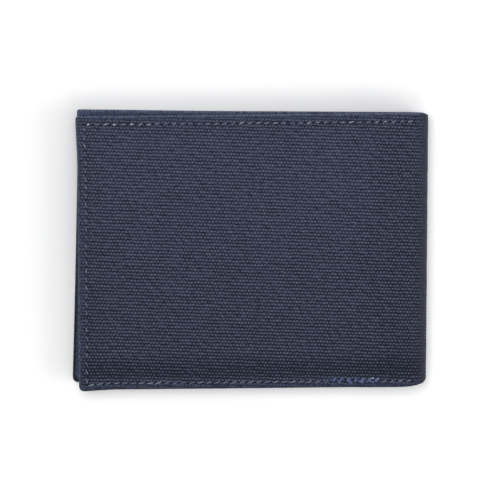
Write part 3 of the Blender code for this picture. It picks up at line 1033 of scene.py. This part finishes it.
def canvas_material():
    """Ribbed plain weave: heavy weft ribs, with warp yarns over and under them in turn."""
    n = Nodes("navy_canvas")
    cloth = n.cloth()
    moved = wavy(n, cloth)
    across, up = n.split(moved)
    rib = n.wave(up)
    rib_number = n.math("ROUND", up)
    bead = n.math("MULTIPLY", n.math("ADD", rib_number, across), 0.5)
    over = n.wave(bead)
    cell = n.add("ShaderNodeCombineXYZ", {"X": n.math("ROUND", bead), "Y": rib_number, "Z": 0.0})
    speck = n.add(
        "ShaderNodeTexWhiteNoise", {"Vector": cell.outputs[0]}, noise_dimensions="3D"
    ).outputs["Value"]
    hole = seam_holes(n)

    crossing = n.math("MULTIPLY", rib, n.math("MULTIPLY_ADD", over, 0.76, 0.24))
    height = n.math("MULTIPLY_ADD", n.noise(moved, 1.1, 2.0), 0.25, crossing)
    flat = n.math("MULTIPLY_ADD", n.attribute("wear"), -0.7, 1.0)
    height = n.math("MULTIPLY", height, flat)
    height = n.math("MULTIPLY_ADD", hole, -1.2, height)

    tone = n.math("MULTIPLY_ADD", speck, 0.16, n.math("MULTIPLY", crossing, 1.05))
    tone = n.math("MULTIPLY_ADD", yarn_unevenness(n, moved), 0.5, tone)
    tone = n.math("MULTIPLY_ADD", n.noise(cloth, 0.03, 2.0), 0.06, tone)
    tone = n.math("ADD", n.math("SUBTRACT", tone, 0.04), painted_light_and_shade(n))
    colour = dyed(n, cloth, tone, hole, over)
    n.finish(colour, n.math("MULTIPLY_ADD", height, -0.12, 0.92), 0.25)
    n.shader.inputs["Sheen Weight"].default_value = 0.05
    n.shader.inputs["Sheen Roughness"].default_value = 0.6
    n.bump(height, 0.16 * MM, 0.9)
    return n.material


def twill_material(name, dark, light, pitch):
    """Twill: diagonal ridges, with the yarns' crossings along them. pitch is in millimetres."""
    n = Nodes(name)
    cloth = n.cloth()
    x, y = n.split(cloth)
    x = n.math("DIVIDE", x, pitch)
    y = n.math("DIVIDE", y, pitch)
    ridge = n.wave(n.math("ADD", x, y))
    cross = n.wave(n.math("SUBTRACT", x, n.math("MULTIPLY", y, 0.5)))
    height = n.math("MULTIPLY_ADD", cross, 0.35, n.math("MULTIPLY", ridge, 0.65))
    tone = n.math("MULTIPLY_ADD", n.noise(cloth, 0.9, 3.0), 1.1, n.math("MULTIPLY", height, 0.7))
    clouds = n.math("SUBTRACT", n.noise(cloth, 0.06, 3.0), 0.5)
    tone = n.math("MULTIPLY_ADD", clouds, 0.2, tone)
    colour = n.ramp(tone, ((0.66, dark), (1.06, light)))
    n.finish(colour, n.math("MULTIPLY_ADD", height, -0.15, 0.82), 0.3)
    n.bump(height, 0.05 * MM, 0.8)
    return n.material


def felt_material():
    """The non-woven stiffener: short random fibres."""
    n = Nodes("grey_interlining")
    fibre = n.noise(n.cloth(), 2.2, 6.0)
    colour = n.ramp(fibre, ((0.25, linear(128, 128, 126)), (0.75, linear(176, 175, 170))))
    n.finish(colour, n.math("MULTIPLY_ADD", fibre, -0.1, 0.97))
    n.bump(fibre, 0.08 * MM)
    return n.material


def thread_material():
    """Twisted thread, each stitch with its own tone."""
    n = Nodes("grey_blue_thread")
    x, y = n.split(n.cloth())
    twist = n.wave(n.math("MULTIPLY_ADD", x, 1.8, y))
    tone = n.math("SUBTRACT", n.attribute("tone"), 0.09)
    colour = n.ramp(
        n.math("MULTIPLY_ADD", twist, 0.18, tone),
        (
            (0.0, linear(58, 68, 108)),
            (0.5, linear(90, 98, 122)),
            (0.8, linear(124, 132, 148)),
            (1.0, linear(212, 216, 224)),
        ),
    )
    n.finish(colour, n.math("MULTIPLY_ADD", twist, -0.15, 0.7))
    n.bump(twist, 0.03 * MM)
    return n.material


def film_material():
    """Clear vinyl, a little scuffed."""
    n = Nodes("clear_film")
    cloth = n.cloth()
    scuff = n.noise(cloth, 0.25, 5.0)
    grey = (*linear(140, 148, 156), 1)
    n.finish(grey, n.math("MULTIPLY_ADD", scuff, 0.25, 0.05), 0.6)
    n.shader.inputs["Alpha"].default_value = 0.12
    n.bump(n.noise(cloth, 0.05, 2.0), 0.4 * MM, 0.3)
    return n.material


def floor_material():
    n = Nodes("pale_floor")
    n.finish((0.9, 0.9, 0.9, 1), 0.8, 0.1)
    return n.material


# ---- the wallet


def build_leaf_layers(leaf, felt, lining):
    """Stiffener, bill lining and inner panel, each with its half of the spine."""
    name = leaf.name
    full_layer(
        name + "_stiffening", leaf, STIFFENER, None, felt,
        (name + "_stiffener", "spine_interlining"),
        inset=2.2 * MM, mouth=6.3 * MM, step=2.5 * MM, spine_step=0.8 * MM,
    )
    full_layer(
        name + "_bill_cloth", leaf, BILL_LINING, pleats(2, 0.22 * MM), lining,
        (name + "_bill_lining", "spine_bill_lining"),
        inset=2.2 * MM, mouth=4.4 * MM, step=1.5 * MM, spine_step=0.3 * MM,
    )
    full_layer(
        name + "_inner_cloth", leaf, INNER_PANEL, inner_panel_lift(leaf), lining,
        (name + "_inner_panel", "spine_inner_lining"),
        inset=1.0 * MM, mouth=1.0 * MM, step=0.85 * MM, spine_step=0.2 * MM,
    )


def build_back_pockets(lining, thread):
    for number, hem in enumerate(HEMS):
        name = f"card_pocket_{number + 1}"
        layer = tuple(depth + number * POCKET_PITCH for depth in FIRST_POCKET)
        seed = 20 + number
        plain_pocket(name, BACK, hem, layer, seed, lining, ("back_" + name,))
        hem_stitches(name + "_hem_stitches", BACK, hem, layer[1], seed, thread)
    pocket_stitches(BACK, hem, layer[1], seed, thread)


def build_front_pockets(lining, film, thread):
    plain_pocket(
        "window_side_pocket", FRONT, HEMS[0], FIRST_POCKET, 31, lining, ("front_card_pocket",)
    )
    hem_stitches("window_side_pocket_hem_stitches", FRONT, HEMS[0], FIRST_POCKET[1], 31, thread)
    plain_pocket(
        "window_frame_cloth", FRONT, FRAME_HEM, WINDOW_FRAME, 32, lining, ("id_window_frame",),
        hole=pocket_shape(FRONT, FRAME_HEM, WINDOW_RIM),
    )
    clear = plain_pocket(
        "window_film", FRONT, FRAME_HEM, FILM, 33, film, ("id_window_film",),
        inset=WINDOW_RIM - FILM_LAP,
    )
    pocket_stitches(FRONT, FRAME_HEM, WINDOW_FRAME[1], 32, thread)
    left, right, bottom, top = pocket_shape(FRONT, FRAME_HEM, WINDOW_RIM - WINDOW_SEAM)
    corners = [(left, top), (left, bottom), (right, bottom), (right, top), (left, top)]
    runs = rows_through(corners, 0.12 * MM, 0.6)
    level = surface(WINDOW_FRAME[1], pocket_lift(pocket_shape(FRONT, FRAME_HEM), 32))
    stitches("window_stitches", FRONT, runs, level, thread, (), outward=-1)


def build_wallet():
    canvas = canvas_material()
    felt = felt_material()
    lining = twill_material("blue_lining", linear(12, 17, 36), linear(66, 78, 110), 1.05)
    thread = thread_material()
    film = film_material()
    for leaf in (BACK, FRONT):
        canvas_piece(leaf, canvas)
        build_leaf_layers(leaf, felt, lining)
        outer_stitches(leaf, thread)
        inner_stitches(leaf, thread)
    build_back_pockets(lining, thread)
    build_front_pockets(lining, film, thread)


# ---- stage


def area_light(name, place, size, power):
    """A round lamp that shines on the wallet."""
    lamp = bpy.data.lights.new(name, "AREA")
    lamp.shape = "DISK"
    lamp.size = size
    lamp.energy = power
    obj = bpy.data.objects.new(name, lamp)
    obj.location = place
    obj.rotation_mode = "QUATERNION"
    obj.rotation_quaternion = (-Vector(place)).to_track_quat("-Z", "Y")
    bpy.context.scene.collection.objects.link(obj)


def build_stage():
    """A pale floor and soft studio light."""
    mesh = bpy.data.meshes.new("floor")
    corners = [(-3, -3, 0), (3, -3, 0), (3, 3, 0), (-3, 3, 0)]
    mesh.from_pydata(corners, [], [(0, 1, 2, 3)])
    floor = bpy.data.objects.new("floor", mesh)
    floor.location.z = -0.3 * MM
    bpy.context.scene.collection.objects.link(floor)
    floor.data.materials.append(floor_material())

    world = bpy.data.worlds.new("studio")
    bpy.context.scene.world = world
    world.use_nodes = True
    background = world.node_tree.nodes["Background"]
    background.inputs["Color"].default_value = (0.97, 0.98, 1.0, 1)
    background.inputs["Strength"].default_value = 0.42
    area_light("low_key", (0.76, -0.23, 0.60), 0.55, 3.0)
    area_light("front_light", (0.25, -0.55, 0.80), 0.5, 1.8)
    area_light("top_light", (-0.1, 0.15, 0.98), 0.5, 5.2)


def build_camera():
    """The camera, 1 m away and almost straight above."""
    tilt = math.radians(2.95)
    roll = math.radians(0.32)
    target = Vector((0.00008, -0.00007, 0.0))
    lens = bpy.data.cameras.new("camera")
    lens.lens = 221.3
    lens.sensor_width = 36.0
    camera = bpy.data.objects.new("camera", lens)
    back = Vector((0.0, math.sin(tilt), math.cos(tilt)))
    camera.location = target + back
    up = Vector((-math.sin(roll), math.cos(roll), 0.0))
    side = up.cross(back).normalized()
    camera.rotation_mode = "QUATERNION"
    matrix = Matrix((side, back.cross(side), back)).transposed()
    camera.rotation_quaternion = matrix.to_quaternion()
    bpy.context.scene.collection.objects.link(camera)
    bpy.context.scene.camera = camera
    bpy.context.scene.view_settings.view_transform = "Standard"


build_camera()
build_wallet()
build_stage()

bpy.context.view_layer.update()
